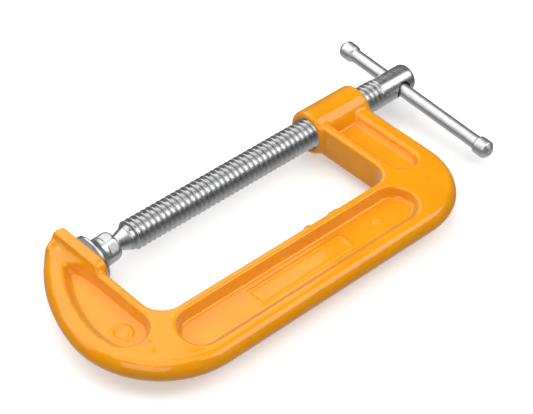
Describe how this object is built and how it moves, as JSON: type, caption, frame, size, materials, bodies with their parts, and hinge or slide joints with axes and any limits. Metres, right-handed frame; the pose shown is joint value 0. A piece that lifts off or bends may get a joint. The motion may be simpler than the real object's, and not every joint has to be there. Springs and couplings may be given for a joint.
{
  "type": "c clamp",
  "caption": "C-clamp with a pocketed cast frame, a threaded spindle through its boss, a swivel pad on a ball and a sliding T-handle bar.",
  "frame": {"origin": "centre of the anvil face, on the screw axis", "axes": "+X along the screw from the anvil towards the boss and handle, +Z normal to the flat of the frame, the spine at -Y"},
  "size_m": [0.2057, 0.1049, 0.0205],
  "materials": {
    "enamel": "glossy orange-yellow enamel over a casting",
    "screw_steel": "bright zinc plate on a rolled thread",
    "pad_steel": "bright zinc plate",
    "bar_steel": "bright zinc plate"
  },
  "bodies": {
    "frame": {"frame_casting": "enamel"},
    "nose": {"spindle_nose": "screw_steel"},
    "screw": {"spindle": "screw_steel"},
    "pad": {"swivel_pad": "pad_steel"},
    "bar": {"tommy_bar": "bar_steel"}
  },
  "joints": [
    {"name": "screw_advance", "type": "slide", "parent": "frame", "child": "nose", "axis": [1, 0, 0], "range_m": [-0.0012, 0.0985]},
    {"name": "screw_turn", "type": "hinge", "parent": "nose", "child": "screw", "pos_m": [0.05, 0, 0], "axis": [1, 0, 0], "range_deg": [-171, 13980]},
    {"name": "pad_tilt", "type": "hinge", "parent": "nose", "child": "pad", "pos_m": [0.0095, 0, 0], "axis": [0, 1, 0], "range_deg": [0, 14]},
    {"name": "bar_slide", "type": "slide", "parent": "screw", "child": "bar", "axis": [0, 0.998, 0.0628], "range_m": [-0.0164, 0.0408]}
  ],
  "couplings": [
    {"joint": "screw_turn", "follows": "screw_advance", "rad_per_m": 2473.7}
  ]
}
